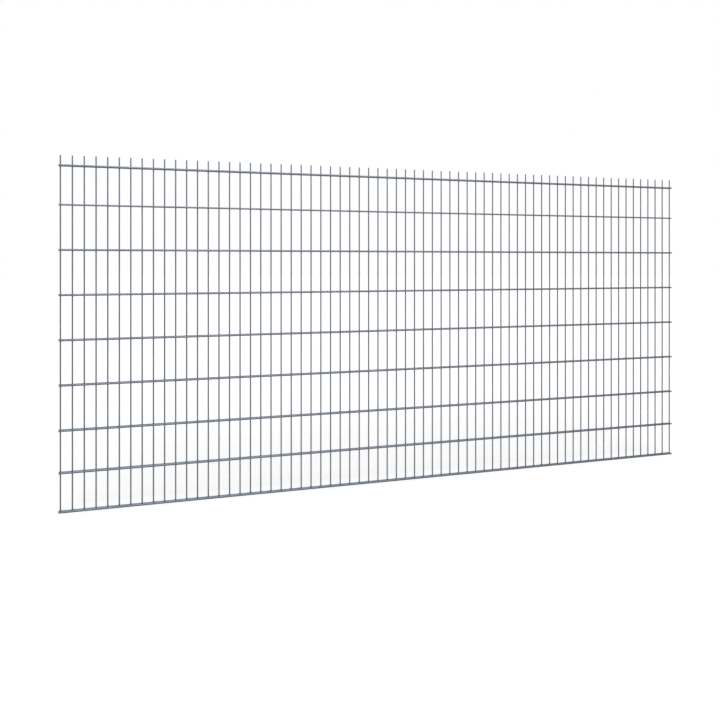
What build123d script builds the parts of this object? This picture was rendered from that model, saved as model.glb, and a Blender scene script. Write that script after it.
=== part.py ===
"""Double wire mesh fence panel.

Upright wires stand between pairs of horizontal rails, one rail in front and one behind.
Each upright touches both rails of every row, where the wires are welded to each other.
X runs along the panel, Y from its front face to its rear face, and Z up.
The origin is at the middle of the panel, on the underside of the bottom rails.
"""

import os

from build123d import *

# Overall size, in millimetres
panel_length = 3318.0  # from end to end of the rails
panel_height = 1583.5  # from the underside of the bottom rails to the tips of the spikes

# Wires
rail_diameter = 9.0
slim_rail_diameter = 7.1  # both rails of the second row from the top
upright_diameter = 6.3

# Places of the wires, from axis to axis
upright_pitch = 50.0
bottom_row_gap = 172.0
second_row_gap = 187.0
regular_row_gap = 200.0
spike_length = 46.0  # upright above the axis of the top rails

# Rows from the bottom up: the top gap is what the regular gaps leave over, and at least half of one
lower_rows = [rail_diameter / 2, rail_diameter / 2 + bottom_row_gap]
first_regular_row = lower_rows[-1] + second_row_gap
top_row = panel_height - spike_length
regular_gap_count = int((top_row - first_regular_row) / regular_row_gap - 0.5)
regular_rows = [first_regular_row + regular_row_gap * gap for gap in range(regular_gap_count + 1)]
row_heights = lower_rows + regular_rows + [top_row]
row_diameters = [rail_diameter] * len(row_heights)
row_diameters[-2] = slim_rail_diameter

# Uprights from left to right: as many as the length takes, centred on it
upright_count = int(panel_length / upright_pitch) + 1
first_upright = -upright_pitch * (upright_count - 1) / 2
upright_places = [first_upright + upright_pitch * index for index in range(upright_count)]


def write_rail(name, diameter, height, side):
    """One horizontal wire, seated on the front (side -1) or on the rear (side 1) of all the uprights."""
    depth = side * (upright_diameter + diameter) / 2
    with BuildPart() as rail:
        with BuildSketch(Plane.YZ.offset(-panel_length / 2)):
            with Locations((depth, height)):
                Circle(diameter / 2)
        extrude(amount=panel_length)
    rail.part.label = name
    export_step(rail.part, f"parts/{name}.step")


def write_uprights(name, places):
    """Vertical wires at the given places, sheared level with the underside of the bottom rails."""
    with BuildPart() as uprights:
        with BuildSketch(Plane.XY):
            with Locations(*[(place, 0) for place in places]):
                Circle(upright_diameter / 2)
        extrude(amount=panel_height)
    uprights.part.label = name
    export_step(uprights.part, f"parts/{name}.step")


os.makedirs("parts", exist_ok=True)

# Rails, numbered from the bottom row up
for number, (height, diameter) in enumerate(zip(row_heights, row_diameters), start=1):
    write_rail(f"front_rail_{number}", diameter, height, -1)
    write_rail(f"rear_rail_{number}", diameter, height, 1)

# The end uprights, which the posts are clamped to, and the one in the middle
middle = upright_count // 2
write_uprights("left_end_upright", upright_places[:1])
write_uprights("middle_upright", upright_places[middle:middle + 1])
write_uprights("right_end_upright", upright_places[-1:])

# The other uprights in neighbouring pairs, numbered from left to right
inner_places = upright_places[1:middle] + upright_places[middle + 1:-1]
for number, first in enumerate(range(0, len(inner_places), 2), start=1):
    write_uprights(f"upright_pair_{number:02d}", inner_places[first:first + 2])
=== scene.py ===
"""Double wire mesh fence panel in galvanised steel.

Upright wires stand between pairs of horizontal rails, one rail in front and one behind, and each crossing
is welded. Every wire is a drawn round bar with sheared ends and a dipped zinc coat. The welding electrodes
leave small flats on the rails, and the zinc draws a smooth collar round each weld.
X runs along the panel, Y from its front face to its rear face, and Z up, all in metres.
"""

import math
from functools import lru_cache
from typing import NamedTuple

import bmesh
import bpy
import numpy as np
from bpy.props import FloatProperty, FloatVectorProperty, IntProperty, PointerProperty
from bpy.types import NodeSocket, Operator, Panel, PropertyGroup
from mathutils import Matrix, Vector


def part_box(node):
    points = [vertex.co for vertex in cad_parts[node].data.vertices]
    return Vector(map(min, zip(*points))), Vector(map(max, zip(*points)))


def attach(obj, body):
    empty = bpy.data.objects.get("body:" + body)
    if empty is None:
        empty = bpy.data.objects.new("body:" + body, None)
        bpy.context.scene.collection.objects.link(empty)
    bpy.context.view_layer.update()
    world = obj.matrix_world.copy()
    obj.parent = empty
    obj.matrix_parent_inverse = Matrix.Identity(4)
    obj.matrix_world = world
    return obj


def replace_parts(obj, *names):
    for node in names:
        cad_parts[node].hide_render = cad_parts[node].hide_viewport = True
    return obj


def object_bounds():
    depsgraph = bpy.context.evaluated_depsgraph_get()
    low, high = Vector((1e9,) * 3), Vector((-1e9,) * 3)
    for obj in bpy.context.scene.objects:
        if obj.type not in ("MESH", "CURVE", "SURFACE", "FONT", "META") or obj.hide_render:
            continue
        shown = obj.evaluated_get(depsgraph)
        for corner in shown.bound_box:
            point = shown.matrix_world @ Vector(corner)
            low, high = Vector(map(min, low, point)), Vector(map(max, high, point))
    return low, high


bl_info = {
    "name": "Double Wire Mesh Fence Panel",
    "version": (1, 0, 0),
    "blender": (4, 5, 0),
    "location": "View3D > Sidebar > Fence Panel",
    "description": "Builds a welded double wire mesh fence panel in galvanised steel",
    "category": "Object",
}

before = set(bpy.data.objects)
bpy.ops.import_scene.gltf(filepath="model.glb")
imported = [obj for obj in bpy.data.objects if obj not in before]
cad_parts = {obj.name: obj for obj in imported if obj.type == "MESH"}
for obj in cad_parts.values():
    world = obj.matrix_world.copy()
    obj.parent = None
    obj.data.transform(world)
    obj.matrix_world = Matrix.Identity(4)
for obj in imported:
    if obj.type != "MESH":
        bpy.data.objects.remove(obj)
CAD_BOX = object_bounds()

MM = 0.001
FULL_TURN = 2 * math.pi


# Wires, as the frame has them


def number_in(name):
    """The number at the end of a node's name."""
    return int(name.rsplit("_", 1)[1])


FRONT_RAILS = sorted((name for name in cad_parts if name.startswith("front_rail")), key=number_in)
REAR_RAILS = sorted((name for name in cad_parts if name.startswith("rear_rail")), key=number_in)
UPRIGHTS = sorted((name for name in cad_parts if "upright" in name),
                  key=lambda name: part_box(name)[0].x)
SINGLE_LOW, SINGLE_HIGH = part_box("middle_upright")
UPRIGHT_RADIUS = (SINGLE_HIGH.x - SINGLE_LOW.x) / 2


def places_of(node):
    """Where the axes of an upright node's wires stand along the panel: one place, or two for a pair."""
    low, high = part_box(node)
    first, last = low.x + UPRIGHT_RADIUS, high.x - UPRIGHT_RADIUS
    return [first] if last - first < UPRIGHT_RADIUS else [first, last]


UPRIGHT_PLACES = [place for node in UPRIGHTS for place in places_of(node)]
ROW_HEIGHTS = [(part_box(name)[0].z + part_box(name)[1].z) / 2 for name in FRONT_RAILS]


# Settings


class FenceWireSettings(PropertyGroup):
    """Shape of the drawn wires"""

    rail_sides: IntProperty(
        name="Rail Sides", description="Faces round a rail", default=28, min=8, max=48)
    upright_sides: IntProperty(
        name="Upright Sides", description="Faces round an upright", default=24, min=8, max=48)
    coat_swell: FloatProperty(
        name="Coat Swell", description="Height of the low swells in the zinc coat",
        default=0.06 * MM, min=0, max=0.4 * MM, precision=5, unit="LENGTH")
    electrode_flat: FloatProperty(
        name="Electrode Flat", description="Depth of the flat that an electrode leaves on a rail",
        default=0.4 * MM, min=0, max=1 * MM, precision=5, unit="LENGTH")
    squeeze: FloatProperty(
        name="Squeeze", description="Depth to which a weld squeezes an upright between its rails",
        default=0.12 * MM, min=0, max=0.5 * MM, precision=5, unit="LENGTH")
    shear_slope: FloatProperty(
        name="Shear Slope", description="How far a cut end leans over its width, at most",
        default=0.7 * MM, min=0, max=2 * MM, precision=5, unit="LENGTH")
    rail_play: FloatProperty(
        name="Rail Play", description="How much shorter than the longest rail an end may be cut",
        default=2 * MM, min=0, max=4 * MM, precision=5, unit="LENGTH")


class FenceWeldSettings(PropertyGroup):
    """Shape of the weld collars"""

    reach_along_rail: FloatProperty(
        name="Reach Along Rail",
        description="How far a collar spreads from its middle along the rail",
        default=3 * MM, min=1 * MM, max=3.05 * MM, precision=5, unit="LENGTH")
    reach_along_upright: FloatProperty(
        name="Reach Along Upright",
        description="How far a collar spreads from its middle along the upright",
        default=3.9 * MM, min=1 * MM, max=4 * MM, precision=5, unit="LENGTH")
    waist: FloatProperty(
        name="Waist", description="How wide the drawn-in waist of a collar is, as a share of its rim",
        default=0.74, min=0.2, max=0.95, subtype="FACTOR")
    unevenness: FloatProperty(
        name="Unevenness", description="How much the rim of a collar wanders, as a share of its reach",
        default=0.09, min=0, max=0.3, subtype="FACTOR")


class FenceZincSettings(PropertyGroup):
    """Colour and grain of the zinc"""

    wire_colour: FloatVectorProperty(
        name="Wire Zinc", description="Middle tone of the zinc on the wires",
        subtype="COLOR", size=3, default=(0.107, 0.126, 0.153), min=0, max=1)
    # The weld tone is set lighter than the wire zinc. This is painted light that lifts the shade at the
    # crossings and in the weld collars.
    painted_light_weld_colour: FloatVectorProperty(
        name="Weld Zinc", description="Middle tone of the dull zinc on and beside the welds",
        subtype="COLOR", size=3, default=(0.12, 0.138, 0.166), min=0, max=1)
    contrast: FloatProperty(
        name="Contrast", description="How far light and dark spangles lie from the middle tone",
        default=0.24, min=0, max=0.6, subtype="FACTOR")
    spangle_size: FloatProperty(
        name="Spangle Size", description="Width of one zinc crystal on the surface",
        default=4.5 * MM, min=0.5 * MM, max=20 * MM, precision=4, unit="LENGTH")
    metallic: FloatProperty(
        name="Metallic", description="How metallic the weathered zinc is",
        default=0.7, min=0, max=1, subtype="FACTOR")
    roughness: FloatProperty(
        name="Roughness", description="Middle roughness of the zinc",
        default=0.42, min=0.1, max=1, subtype="FACTOR")


class FenceStudioSettings(PropertyGroup):
    """Floor, light and camera"""

    floor_colour: FloatVectorProperty(
        name="Floor", description="Colour of the studio floor", subtype="COLOR", size=3,
        default=(0.8, 0.8, 0.8), min=0, max=1)
    floor_radius: FloatProperty(
        name="Floor Radius", description="Reach of the studio floor", default=60, min=5, unit="LENGTH")
    floor_glow: FloatProperty(
        name="Floor Glow", description="White that the floor shows besides the light that falls on it",
        default=0.455, min=0, max=1, subtype="FACTOR")
    room_light: FloatProperty(
        name="Room Light", description="Soft light from all round", default=0.42, min=0)
    key_strength: FloatProperty(
        name="Key Light", description="Strength of the soft key light from above the front",
        default=1.5, min=0)
    key_spread: FloatProperty(
        name="Key Spread", description="How wide the key light is in the sky",
        default=math.radians(28), min=0, max=math.pi, subtype="ANGLE")
    key_tilt: FloatProperty(
        name="Key Tilt", description="How far the key light leans away from straight down",
        default=math.radians(48), subtype="ANGLE")
    key_turn: FloatProperty(
        name="Key Turn", description="How far the key light stands round to the left of the front",
        default=math.radians(10), subtype="ANGLE")
    box_width: FloatProperty(
        name="Soft Box Width", description="Width of each soft box", default=4.8, min=0.1, unit="LENGTH")
    box_height: FloatProperty(
        name="Soft Box Height", description="Height of each soft box", default=1.6, min=0.1, unit="LENGTH")
    front_power: FloatProperty(
        name="Front Light", description="Power of the soft box above the front of the panel",
        default=150, min=0, subtype="POWER")
    front_place: FloatVectorProperty(
        name="Front Light Place", description="Where the soft box above the front hangs", size=3,
        default=(0, -2.4, 3.2), subtype="XYZ", unit="LENGTH")
    back_power: FloatProperty(
        name="Back Light", description="Power of the soft box above the back of the panel",
        default=50, min=0, subtype="POWER")
    back_place: FloatVectorProperty(
        name="Back Light Place", description="Where the soft box above the back hangs", size=3,
        default=(2.2, 3.2, 2.6), subtype="XYZ", unit="LENGTH")
    lens: FloatProperty(
        name="Lens", description="Focal length of the camera",
        default=40, min=10, subtype="DISTANCE_CAMERA")
    eye: FloatVectorProperty(
        name="Eye", description="Where the camera stands", size=3,
        default=(-1.5689, -3.7772, 1.1076), subtype="XYZ", unit="LENGTH")
    look: FloatProperty(
        name="Look", description="How far the camera turns to the right",
        default=math.radians(19.302), subtype="ANGLE")
    drop: FloatProperty(
        name="Drop", description="How far the picture is shifted downwards, as a share of its width",
        default=0.13538, min=0, max=1, subtype="FACTOR")


# Meshes


def eased(share):
    """A share from 0 to 1, with soft ends."""
    share = np.clip(share, 0, 1)
    return share * share * (3 - 2 * share)


@lru_cache(maxsize=None)
def tube_faces(rings, sides):
    """Faces of a closed tube, whose points count ring by ring and then its low and its high tip.

    The three arrays give, for every corner of every face, its gap between two levels, its level and its
    side. The low tip is level 0 and the first ring is level 1."""
    low_tip, high_tip = rings * sides, rings * sides + 1
    faces, corners = [], []
    for gap in range(rings + 1):
        below, above = (gap - 1) * sides, gap * sides
        for side in range(sides):
            after = (side + 1) % sides
            if gap == 0:
                faces.append((low_tip, after, side))
                corners += [(gap, 0, side + 0.5), (gap, 1, side + 1), (gap, 1, side)]
            elif gap == rings:
                faces.append((high_tip, below + side, below + after))
                corners += [(gap, rings + 1, side + 0.5), (gap, rings, side), (gap, rings, side + 1)]
            else:
                faces.append((below + side, below + after, above + after, above + side))
                corners += [(gap, gap, side), (gap, gap, side + 1)]
                corners += [(gap, gap + 1, side + 1), (gap, gap + 1, side)]
    gap, level, side = np.array(corners).T
    return faces, gap.astype(int), level.astype(int), side


class Shape:
    """Points, faces, map places and tones of one piece, gathered wire by wire or weld by weld."""

    def __init__(self):
        self.points, self.faces, self.map_places, self.near_weld, self.tone = [], [], [], [], []
        self.count = 0

    def add(self, points, faces, map_places, near_weld, tone):
        """Adds one closed body, whose faces count its own points from 0."""
        self.points.append(points)
        self.faces += [tuple(point + self.count for point in face) for face in faces]
        self.map_places.append(map_places)
        self.near_weld.append(near_weld)
        self.tone.append(np.full(len(points), tone))
        self.count += len(points)

    def piece(self, name, finish, slot):
        """The finished piece, in the frame and with its finish."""
        mesh = bpy.data.meshes.new(name)
        mesh.from_pydata(np.concatenate(self.points).tolist(), [], self.faces)
        if mesh.validate():
            raise RuntimeError(f"{name} has a bad face")
        bake_map = mesh.uv_layers.new(name="OFBake")
        bake_map.uv.foreach_set("vector", np.concatenate(self.map_places).astype(np.float32).ravel())
        for label, values in (("near_weld", self.near_weld), ("wire_tone", self.tone)):
            layer = mesh.attributes.new(label, "FLOAT", "POINT")
            layer.data.foreach_set("value", np.concatenate(values).astype(np.float32))
        mesh.shade_smooth()
        mesh.materials.append(finish)
        piece = bpy.data.objects.new(name, mesh)
        bpy.context.scene.collection.objects.link(piece)
        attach(piece, "root")
        return piece


class Wire(NamedTuple):
    """A straight round wire, and how its welds press on it."""

    start: tuple  # the middle of its first end
    axes: tuple  # its own direction, then two across it
    length: float
    radius: float
    sides: int  # faces round it
    welds: list  # distances along it
    presses: tuple  # turns round it at which a weld flattens it
    press_depth: float


# Swells of the zinc coat: length along the wire, waves round the wire, share of the height
SWELLS = ((340 * MM, 1, 0.3), (190 * MM, 0, 0.25), (110 * MM, 2, 0.25), (63 * MM, 1, 0.2))

# A cut end, ring by ring outwards: share of the radius, distance in from the face, share of its slope
CUT_RINGS = np.array((
    (0.42, 0.0, 1.0),
    (0.84, 0.02 * MM, 1.0),
    (0.945, 0.16 * MM, 0.95),
    (0.99, 0.5 * MM, 0.7),
    (1.0, 1.4 * MM, 0.0),
))
CUT_CLEAR = 2.3 * MM  # no other ring is nearer than this to an end
LEAST_SLOPE = 0.35  # of the steepest cut

# The flat at a weld: half its length, and the ramp at either end of it, on which three rings stand
FLAT_HALF, FLAT_RAMP = 2.2 * MM, 2.4 * MM
RAMP_RINGS = FLAT_HALF + FLAT_RAMP * np.array((0, 0.5, 1))
WELD_RINGS = np.concatenate([-RAMP_RINGS[::-1], RAMP_RINGS])
FREE_STEP = 13 * MM  # between rings on the free stretches
DULL_AND_PAINTED_LIGHT_REACH = 7 * MM  # how far the dull zinc and its painted light reach from a weld

# Share of a strip, or of a weld's square, that stays free along each edge of the bake map
STRIP_END, STRIP_SIDE, SQUARE_SIDE = 0.004, 0.04, 0.06


def ring_stations(wire):
    """Distances along a wire at which it has a ring of points, besides those of its cut ends."""
    last = wire.length - CUT_CLEAR
    beside = np.add.outer(wire.welds, WELD_RINGS).ravel()
    stops = np.sort([CUT_CLEAR, *beside[(beside > CUT_CLEAR) & (beside < last)], last])
    filled = [stops[:1]]
    for start, end in zip(stops[:-1], stops[1:]):
        steps = max(1, round((end - start) / FREE_STEP))
        filled.append(np.linspace(start, end, steps + 1)[1:])
    return np.concatenate(filled)


def coat_swells(draw, along, turn):
    """Height of the zinc coat, from 0 to 1, at each distance along a wire and each turn round it."""
    height = np.full((len(along), len(turn)), 0.5)
    for wave, waves_round, share in SWELLS:
        start, lean = draw.uniform(0, FULL_TURN, 2)
        ripple = np.sin(FULL_TURN * along / wave + start)[:, None]
        height += 0.5 * share * ripple * np.cos(waves_round * turn + lean)
    return height


def wire_map(wire, along, share, strips):
    """Places of a wire's face corners on the bake map.

    The wire is cut there into strips of about equal length, one above the other. strips gives its first
    strip, how many it has, and how many the whole map has."""
    first, number, whole = strips
    radii = wire.radius * np.concatenate([[0], share, [0]])
    levels = np.concatenate([along[:1], along, along[-1:]])
    run = np.concatenate([[0], np.cumsum(np.hypot(np.diff(levels), np.diff(radii)))])
    strip_of_gap = (number * (run[:-1] + run[1:]) / 2 / run[-1]).astype(int)
    starts = np.array([run[:-1][strip_of_gap == strip].min() for strip in range(number)])
    ends = np.array([run[1:][strip_of_gap == strip].max() for strip in range(number)])
    _, gap, level, side = tube_faces(len(along), wire.sides)
    strip = strip_of_gap[gap]
    across = (run[level] - starts[strip]) / (ends - starts)[strip]
    across = STRIP_END + (1 - 2 * STRIP_END) * across
    up = STRIP_SIDE + (1 - 2 * STRIP_SIDE) * side / wire.sides
    return np.stack([across, (first + strip + up) / whole], 1)


def add_wire(shape, wire, settings, draw, strips):
    """Adds one wire to a shape, on the given strips of the shape's bake map."""
    stations = ring_stations(wire)
    share, from_end, slope_share = CUT_RINGS.T
    along = np.concatenate([from_end, stations, wire.length - from_end[::-1]])
    share = np.concatenate([share, np.ones(len(stations)), share[::-1]])
    turn = FULL_TURN * np.arange(wire.sides) / wire.sides
    away = np.abs(np.subtract.outer(along, wire.welds)).min(1)

    # Round section with the swells of its coat, which only sink below the wire's own radius
    reach = (wire.radius - settings.coat_swell * coat_swells(draw, along, turn)) * share[:, None]
    first, second = reach * np.cos(turn), reach * np.sin(turn)
    flat = wire.press_depth * eased(1 - (away - FLAT_HALF) / FLAT_RAMP)
    for press in wire.presses:
        outward = first * math.cos(press) + second * math.sin(press)
        over = np.maximum(0, outward - (wire.radius - flat)[:, None])
        first = first - over * math.cos(press)
        second = second - over * math.sin(press)

    # Sheared ends lean a little, each in its own direction
    place = np.repeat(along[:, None], wire.sides, 1)
    tips = []
    for end, inward in ((0, 1), (wire.length, -1)):
        rings = slice(None, len(slope_share)) if inward > 0 else slice(None, -len(slope_share) - 1, -1)
        slope = settings.shear_slope * draw.uniform(LEAST_SLOPE, 1)
        lean = np.cos(turn - draw.uniform(0, FULL_TURN))
        fall = slope * (1 + share[rings, None] * lean) / 2
        place[rings] += inward * slope_share[:, None] * fall
        tips.append((end + inward * slope / 2, 0, 0))

    local = np.concatenate([np.stack([place, first, second], 2).reshape(-1, 3), tips])
    points = np.array(wire.start) + local @ np.array(wire.axes, float)
    # How near each ring is to a weld. It marks rougher dull zinc there, and a lighter tone that is painted
    # light lifting the shade at the crossings.
    dull = np.exp(-((away / DULL_AND_PAINTED_LIGHT_REACH) ** 2))
    near_weld = np.concatenate([np.repeat(dull, wire.sides), dull[[0, -1]]])
    faces = tube_faces(len(along), wire.sides)[0]
    shape.add(points, faces, wire_map(wire, along, share, strips), near_weld, draw.uniform())


def strip_count(length, radius, wires):
    """Strips of the bake map for each wire of a piece, so that the map is about square."""
    return max(1, round(math.sqrt(length / (wires * FULL_TURN * radius))))


# Weld collars: points round one, rings down its wall, and how deep its rims sink into the wires
COLLAR_SIDES, COLLAR_RINGS, COLLAR_SINK = 14, 5, 0.12 * MM
COLLAR_LOBES = (2, 3, 5)  # waves round its rim
RAIL_LIMIT, UPRIGHT_LIMIT = 0.9, 0.97  # of the wire's radius, as far as a rim may go round it
WAIST_PLAY = 0.08  # of its waist
RAIL_TIP, UPRIGHT_TIP = 0.4 * MM, -0.6 * MM  # how deep its ends lie in the wires


def sagitta(radius, offset):
    """How far a round wire's surface falls away at an offset from its nearest line."""
    return radius - np.sqrt(radius * radius - offset * offset)


def add_collar(shape, settings, draw, contact, outward, rail_radius, square):
    """Adds one closed collar of drawn-in zinc between a rail and an upright.

    contact is where the two wires touch, outward the way from the upright to the rail along Y, and square
    the collar's column, row and share of the bake map."""
    turn = FULL_TURN * np.arange(COLLAR_SIDES) / COLLAR_SIDES
    reach = np.hypot(settings.reach_along_rail * np.cos(turn),
                     settings.reach_along_upright * np.sin(turn))
    for lobe in COLLAR_LOBES:
        wander = np.sin(lobe * turn + draw.uniform(0, FULL_TURN))
        reach = reach * (1 + settings.unevenness / len(COLLAR_LOBES) * wander)
    along_rail = np.minimum(np.abs(reach * np.cos(turn)), UPRIGHT_LIMIT * UPRIGHT_RADIUS)
    along_upright = np.minimum(np.abs(reach * np.sin(turn)), RAIL_LIMIT * rail_radius)
    reach = np.hypot(along_rail, along_upright)
    waist = settings.waist * draw.uniform(1 - WAIST_PLAY, 1 + WAIST_PLAY) * reach
    rail_rim = sagitta(rail_radius, along_upright) + COLLAR_SINK
    upright_rim = -sagitta(UPRIGHT_RADIUS, along_rail) - COLLAR_SINK

    # The wall curves from the rail's rim in to the waist and out to the upright's rim
    step = np.linspace(0, 1, COLLAR_RINGS)[:, None]
    spread = (1 - step) ** 2 * reach + 2 * step * (1 - step) * waist + step ** 2 * reach
    depth = (1 - step) * rail_rim + step * upright_rim
    wall = np.stack([spread * np.cos(turn), depth, spread * np.sin(turn)], 2).reshape(-1, 3)
    local = np.concatenate([wall, [(0, RAIL_TIP, 0), (0, UPRIGHT_TIP, 0)]])
    points = np.array(contact) + local * (outward, outward, 1)

    column, row, size = square
    faces, _, level, side = tube_faces(COLLAR_RINGS, COLLAR_SIDES)
    inner = np.stack([side / COLLAR_SIDES, level / (COLLAR_RINGS + 1)], 1)
    map_places = size * (np.array((column, row)) + SQUARE_SIDE + (1 - 2 * SQUARE_SIDE) * inner)
    shape.add(points, faces, map_places, np.ones(len(points)), draw.uniform())


# Finishes


def add_node(tree, kind, inputs=(), **options):
    """A shader node with its options, and its inputs set to values or linked to other outputs."""
    node = tree.nodes.new(kind)
    for option, value in options.items():
        setattr(node, option, value)
    for socket, value in dict(inputs).items():
        if isinstance(value, NodeSocket):
            tree.links.new(value, node.inputs[socket])
        else:
            node.inputs[socket].default_value = value
    return node


def combined(tree, operation, *values):
    """The output of a sum, product or other operation on values."""
    return add_node(tree, "ShaderNodeMath", enumerate(values), operation=operation).outputs[0]


def ranged(tree, value, low, high, from_low=0.0, from_high=1.0):
    """The output of a value carried over from one range to another."""
    node = add_node(tree, "ShaderNodeMapRange", {
        "Value": value, "From Min": from_low, "From Max": from_high, "To Min": low, "To Max": high})
    return node.outputs["Result"]


def noise(tree, place, scale, detail):
    """The output of a noise from 0 to 1, most of it between NOISE_LOW and NOISE_HIGH."""
    inputs = {"Vector": place, "Scale": scale, "Detail": detail}
    return add_node(tree, "ShaderNodeTexNoise", inputs).outputs["Fac"]


NOISE_LOW, NOISE_HIGH = 0.3, 0.7

# Sizes of the zinc's grain: streaks along and across the wire, cloudy patches and fine grain
STREAK_LENGTH, STREAK_WIDTH, PATCH_SIZE, GRAIN_SIZE = 30 * MM, 2.2 * MM, 130 * MM, 0.5 * MM
PATCH_DETAIL, GRAIN_DETAIL, STREAK_DETAIL = 4, 2, 3  # of their noises
BEND_SIZE, BEND = 2 * MM, 1.6 * MM  # the edges of the crystals wander so often and so far

# Relief of the zinc, and the shares of it that come from the crystals' seams, the grain and the streaks
RELIEF, RELIEF_STRENGTH = 0.12 * MM, 0.35
SEAM_RELIEF, GRAIN_RELIEF, STREAK_RELIEF = 0.5, 0.4, 0.5
SEAM_WIDTH = 0.12  # of a crystal

# Shares of the tone that come from the crystals, streaks and patches, and from the wire as a whole
SPANGLE_SHARE, STREAK_SHARE, PATCH_SHARE, WIRE_SHARE = 0.36, 0.22, 0.27, 0.15
GLOSS_PLAY = 0.1  # how far the roughness goes up and down from crystal to crystal
LEAST_DULL_AND_PAINTED_LIGHT, MOST_DULL_AND_PAINTED_LIGHT = 0.25, 0.85  # share of dull zinc and painted light at a weld, from streak to streak
DULL_ROUGHNESS = 0.12  # added by the dull zinc

ALONG_PANEL, UPWARD = 0, 2  # the axes that wires run along

# Sockets of a mix node that are in use when it mixes colours
MIX_FACTOR, MIX_FIRST, MIX_SECOND, MIX_RESULT = 0, 6, 7, 2


def zinc_finish(name, colour, settings, lie):
    """Weathered dipped zinc: spangle, streaks along the wire, cloudy patches, and at the welds rougher
    zinc in a lighter tone, which is painted light.

    lie is ALONG_PANEL or UPWARD, as the wires run, or None where they run both ways."""
    finish = bpy.data.materials.new(name)
    finish.use_nodes = True
    tree = finish.node_tree
    zinc = tree.nodes["Principled BSDF"]
    place = add_node(tree, "ShaderNodeTexCoord").outputs["Object"]
    patches = noise(tree, place, 1 / PATCH_SIZE, PATCH_DETAIL)
    grain = noise(tree, place, 1 / GRAIN_SIZE, GRAIN_DETAIL)
    stretch = [1 / STREAK_WIDTH] * 3
    if lie is not None:
        stretch[lie] = 1 / STREAK_LENGTH
    stretched = add_node(tree, "ShaderNodeMapping", {"Vector": place, "Scale": stretch}).outputs["Vector"]
    streaks = noise(tree, stretched, 1, STREAK_DETAIL)
    near_weld = add_node(tree, "ShaderNodeAttribute", attribute_name="near_weld").outputs["Fac"]
    wire_tone = add_node(tree, "ShaderNodeAttribute", attribute_name="wire_tone").outputs["Fac"]

    # Zinc crystals with wandering edges
    bend_inputs = {"Vector": place, "Scale": 1 / BEND_SIZE}
    bends = add_node(tree, "ShaderNodeTexNoise", bend_inputs).outputs["Color"]
    bent = add_node(tree, "ShaderNodeVectorMath", {0: bends, 1: (BEND, BEND, BEND), 2: place},
                    operation="MULTIPLY_ADD").outputs["Vector"]
    crystal_inputs = {"Vector": bent, "Scale": 1 / settings.spangle_size}
    crystals = add_node(tree, "ShaderNodeTexVoronoi", crystal_inputs).outputs["Color"]
    seams = add_node(tree, "ShaderNodeTexVoronoi", crystal_inputs,
                     feature="DISTANCE_TO_EDGE").outputs["Distance"]
    sorts = add_node(tree, "ShaderNodeSeparateColor", {"Color": crystals}).outputs

    # Tone: 0 is the darkest zinc and 1 the lightest
    spread_streaks = ranged(tree, streaks, 0, 1, NOISE_LOW, NOISE_HIGH)
    spread_patches = ranged(tree, patches, 0, 1, NOISE_LOW, NOISE_HIGH)
    tone = combined(tree, "MULTIPLY", sorts["Red"], SPANGLE_SHARE)
    tone = combined(tree, "MULTIPLY_ADD", spread_streaks, STREAK_SHARE, tone)
    tone = combined(tree, "MULTIPLY_ADD", spread_patches, PATCH_SHARE, tone)
    tone = combined(tree, "MULTIPLY_ADD", wire_tone, WIRE_SHARE, tone)
    ramp = add_node(tree, "ShaderNodeValToRGB", {"Fac": tone})
    stops = ramp.color_ramp.elements
    stops.new(0.5)
    for stop, lift in zip(stops, (1 - settings.contrast, 1, 1 + settings.contrast)):
        stop.color = (*(lift * channel for channel in colour), 1)
    # Near a weld the tone mixes towards the lighter weld tone. This is painted light that lifts the shade
    # at the crossing. The zinc there is also rougher, which is real.
    dull_and_painted_light_spread = ranged(tree, streaks, LEAST_DULL_AND_PAINTED_LIGHT, MOST_DULL_AND_PAINTED_LIGHT, NOISE_LOW, NOISE_HIGH)
    dull_and_painted_light = combined(tree, "MULTIPLY", near_weld, dull_and_painted_light_spread)
    skin = add_node(tree, "ShaderNodeMix", {
        MIX_FACTOR: dull_and_painted_light, MIX_FIRST: ramp.outputs["Color"], MIX_SECOND: (*settings.painted_light_weld_colour, 1)},
        data_type="RGBA").outputs[MIX_RESULT]
    tree.links.new(skin, zinc.inputs["Base Color"])

    # Some crystals are glossier than others, and the dull zinc is rougher
    glossiest, dullest = settings.roughness - GLOSS_PLAY, settings.roughness + GLOSS_PLAY
    rough = ranged(tree, sorts["Green"], glossiest, dullest)
    rough = combined(tree, "MULTIPLY_ADD", dull_and_painted_light, DULL_ROUGHNESS, rough)
    tree.links.new(rough, zinc.inputs["Roughness"])
    zinc.inputs["Metallic"].default_value = settings.metallic
    relief = ranged(tree, seams, 0, SEAM_RELIEF, 0, SEAM_WIDTH)
    relief = combined(tree, "MULTIPLY_ADD", grain, GRAIN_RELIEF, relief)
    relief = combined(tree, "MULTIPLY_ADD", streaks, STREAK_RELIEF, relief)
    bump = add_node(tree, "ShaderNodeBump", {
        "Height": relief, "Strength": RELIEF_STRENGTH, "Distance": RELIEF})
    tree.links.new(bump.outputs["Normal"], zinc.inputs["Normal"])
    return finish


# Operators


RAIL_SEED, UPRIGHT_SEED, WELD_SEED = 11, 12, 13  # of the random draws

FLOOR_DROP = 0.2 * MM  # under the panel
FLOOR_SIDES, FLOOR_ROUGHNESS = 64, 0.9
SENSOR_WIDTH = 36  # of the camera, in millimetres


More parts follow.
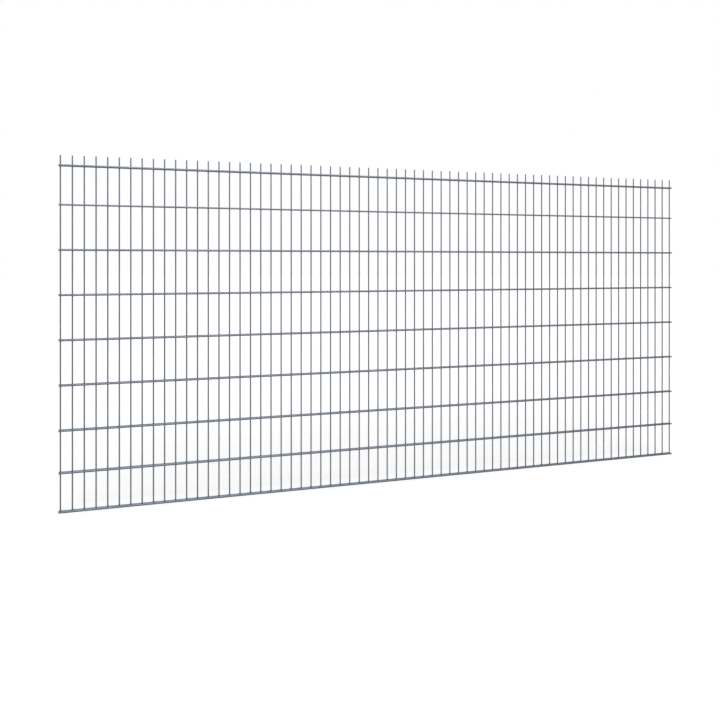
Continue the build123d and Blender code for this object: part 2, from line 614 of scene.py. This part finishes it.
class FENCE_OT_add_rails(Operator):
    """Build the front and rear rails"""

    bl_idname = "fence.add_rails"
    bl_label = "Add Rails"
    bl_options = {"REGISTER", "UNDO"}

    def execute(self, context):
        settings = context.scene.fence_wires
        zinc = context.scene.fence_zinc
        finish = zinc_finish("rail_zinc", zinc.wire_colour, zinc, ALONG_PANEL)
        axes = ((1, 0, 0), (0, 1, 0), (0, 0, 1))
        for side, (nodes, press) in enumerate(((FRONT_RAILS, math.pi), (REAR_RAILS, 0))):
            for number, node in enumerate(nodes):
                low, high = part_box(node)
                radius = (high.y - low.y) / 2
                draw = np.random.default_rng((RAIL_SEED, side, number))
                left = low.x + settings.rail_play * draw.uniform()
                right = high.x - settings.rail_play * draw.uniform()
                start = (left, low.y + radius, low.z + radius)
                welds = [place - left for place in UPRIGHT_PLACES]
                wire = Wire(start, axes, right - left, radius, settings.rail_sides, welds, (press,),
                            settings.electrode_flat)
                strips = strip_count(wire.length, radius, 1)
                shape = Shape()
                add_wire(shape, wire, settings, draw, (0, strips, strips))
                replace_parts(shape.piece(f"{node}_wire", finish, "rail_wire"), node)
        return {"FINISHED"}


class FENCE_OT_add_uprights(Operator):
    """Build the uprights, by themselves or in pairs as the frame has them"""

    bl_idname = "fence.add_uprights"
    bl_label = "Add Uprights"
    bl_options = {"REGISTER", "UNDO"}

    def execute(self, context):
        settings = context.scene.fence_wires
        zinc = context.scene.fence_zinc
        finish = zinc_finish("upright_zinc", zinc.wire_colour, zinc, UPWARD)
        axes = ((0, 0, 1), (1, 0, 0), (0, 1, 0))
        presses = (FULL_TURN / 4, -FULL_TURN / 4)
        for number, node in enumerate(UPRIGHTS):
            low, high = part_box(node)
            places, length = places_of(node), high.z - low.z
            welds = [height - low.z for height in ROW_HEIGHTS]
            strips = strip_count(length, UPRIGHT_RADIUS, len(places))
            draw = np.random.default_rng((UPRIGHT_SEED, number))
            shape = Shape()
            for index, place in enumerate(places):
                wire = Wire((place, 0, low.z), axes, length, UPRIGHT_RADIUS, settings.upright_sides, welds,
                            presses, settings.squeeze)
                add_wire(shape, wire, settings, draw, (index * strips, strips, len(places) * strips))
            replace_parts(shape.piece(f"{node}_wire", finish, "upright_wire"), node)
        return {"FINISHED"}


class FENCE_OT_add_welds(Operator):
    """Draw a collar of zinc round every weld between an upright and a rail"""

    bl_idname = "fence.add_welds"
    bl_label = "Add Welds"
    bl_options = {"REGISTER", "UNDO"}

    def execute(self, context):
        settings = context.scene.fence_welds
        zinc = context.scene.fence_zinc
        # The collars take the lighter weld tone. This is painted light lifting the shade where rail and
        # upright meet.
        finish = zinc_finish("weld_zinc_painted_light", zinc.painted_light_weld_colour, zinc, None)
        for name, nodes, outward in (("front_welds", FRONT_RAILS, -1), ("rear_welds", REAR_RAILS, 1)):
            columns = math.ceil(math.sqrt(len(nodes) * len(UPRIGHT_PLACES)))
            draw = np.random.default_rng((WELD_SEED, outward + 1))  # a seed can't be negative
            shape = Shape()
            for row, node in enumerate(nodes):
                low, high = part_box(node)
                rail_radius = (high.y - low.y) / 2
                for index, place in enumerate(UPRIGHT_PLACES):
                    contact = (place, outward * UPRIGHT_RADIUS, low.z + rail_radius)
                    square_row, column = divmod(row * len(UPRIGHT_PLACES) + index, columns)
                    square = (column, square_row, 1 / columns)
                    add_collar(shape, settings, draw, contact, outward, rail_radius, square)
            shape.piece(name, finish, "rail_wire")
        return {"FINISHED"}


class FENCE_OT_set_stage(Operator):
    """Lay the studio floor, light the panel and place the camera"""

    bl_idname = "fence.set_stage"
    bl_label = "Set Stage"
    bl_options = {"REGISTER", "UNDO"}

    def execute(self, context):
        scene, studio = context.scene, context.scene.fence_studio
        scene.view_settings.view_transform = "Standard"
        self.lay_floor(scene, studio)
        self.fill_room(scene, studio)
        self.hang_lights(scene, studio)
        self.place_camera(scene, studio)
        return {"FINISHED"}

    def seen(self, tree):
        """1 for rays by which the white is seen: straight, in a reflection or through something clear."""
        rays = add_node(tree, "ShaderNodeLightPath").outputs
        seen = combined(tree, "MAXIMUM", rays["Is Camera Ray"], rays["Is Glossy Ray"])
        return combined(tree, "MAXIMUM", seen, rays["Is Transmission Ray"])

    def lay_floor(self, scene, studio):
        """A white floor just under the panel, which keeps the panel's shadow."""
        mesh = bpy.data.meshes.new("studio_floor")
        disc = bmesh.new()
        bmesh.ops.create_circle(disc, cap_ends=True, segments=FLOOR_SIDES, radius=studio.floor_radius)
        disc.to_mesh(mesh)
        disc.free()
        floor = bpy.data.objects.new("studio_floor", mesh)
        floor.location.z = -FLOOR_DROP
        scene.collection.objects.link(floor)
        paint = bpy.data.materials.new("floor_white")
        paint.use_nodes = True
        tree = paint.node_tree
        surface = tree.nodes["Principled BSDF"]
        surface.inputs["Base Color"].default_value = (*studio.floor_colour, 1)
        surface.inputs["Roughness"].default_value = FLOOR_ROUGHNESS
        surface.inputs["Specular IOR Level"].default_value = 0
        surface.inputs["Emission Color"].default_value = (1, 1, 1, 1)
        glow = ranged(tree, self.seen(tree), 0, studio.floor_glow)
        tree.links.new(glow, surface.inputs["Emission Strength"])
        mesh.materials.append(paint)

    def fill_room(self, scene, studio):
        """A white room, which is seen at full strength and lights the panel softly."""
        scene.world = bpy.data.worlds.new("studio_room")
        scene.world.use_nodes = True
        tree = scene.world.node_tree
        room = tree.nodes["Background"]
        room.inputs["Color"].default_value = (1, 1, 1, 1)
        tree.links.new(ranged(tree, self.seen(tree), studio.room_light, 1), room.inputs["Strength"])

    def hang_lights(self, scene, studio):
        """A wide key light from above, and two soft boxes that only show as a sheen on the zinc."""
        key = bpy.data.lights.new("key_light", "SUN")
        key.energy = studio.key_strength
        key.angle = studio.key_spread
        lamp = bpy.data.objects.new("key_light", key)
        lamp.rotation_euler = (studio.key_tilt, 0, -studio.key_turn)
        scene.collection.objects.link(lamp)
        boxes = (("front_light", studio.front_power, studio.front_place),
                 ("back_light", studio.back_power, studio.back_place))
        for name, power, place in boxes:
            box = bpy.data.lights.new(name, "AREA")
            box.energy = power
            box.shape = "RECTANGLE"
            box.size, box.size_y = studio.box_width, studio.box_height
            lamp = bpy.data.objects.new(name, box)
            lamp.location = place
            aim = (CAD_BOX[0] + CAD_BOX[1]) / 2 - lamp.location
            lamp.rotation_euler = aim.to_track_quat("-Z", "Y").to_euler()
            lamp.visible_camera = False
            lamp.visible_diffuse = False
            scene.collection.objects.link(lamp)

    def place_camera(self, scene, studio):
        """A level camera, whose picture is shifted downwards to the panel."""
        lens = bpy.data.cameras.new("camera")
        lens.lens = studio.lens
        lens.sensor_width = SENSOR_WIDTH
        lens.shift_y = -studio.drop
        lens.dof.use_dof = False
        lens.clip_end = 2 * studio.floor_radius
        camera = bpy.data.objects.new("camera", lens)
        camera.location = studio.eye
        camera.rotation_euler = (math.pi / 2, 0, -studio.look)
        scene.collection.objects.link(camera)
        scene.camera = camera


class FENCE_PT_panel(Panel):
    """Steps and settings of the fence panel"""

    bl_idname = "FENCE_PT_panel"
    bl_label = "Fence Panel"
    bl_space_type = "VIEW_3D"
    bl_region_type = "UI"
    bl_category = "Fence Panel"

    def draw(self, context):
        for step in STEPS:
            self.layout.operator(step.bl_idname)
        for group, settings in SETTINGS.items():
            box = self.layout.box()
            for name in settings.__annotations__:
                box.prop(getattr(context.scene, group), name)


STEPS = (FENCE_OT_add_rails, FENCE_OT_add_uprights, FENCE_OT_add_welds, FENCE_OT_set_stage)
SETTINGS = {
    "fence_wires": FenceWireSettings,
    "fence_welds": FenceWeldSettings,
    "fence_zinc": FenceZincSettings,
    "fence_studio": FenceStudioSettings,
}


def register():
    for group, settings in SETTINGS.items():
        bpy.utils.register_class(settings)
        setattr(bpy.types.Scene, group, PointerProperty(type=settings))
    for step in STEPS:
        bpy.utils.register_class(step)
    bpy.utils.register_class(FENCE_PT_panel)


def unregister():
    bpy.utils.unregister_class(FENCE_PT_panel)
    for step in reversed(STEPS):
        bpy.utils.unregister_class(step)
    for group, settings in reversed(SETTINGS.items()):
        delattr(bpy.types.Scene, group)
        bpy.utils.unregister_class(settings)


def main():
    register()
    bpy.ops.fence.add_rails()
    bpy.ops.fence.add_uprights()
    bpy.ops.fence.add_welds()
    bpy.ops.fence.set_stage()


if __name__ == "__main__":
    main()
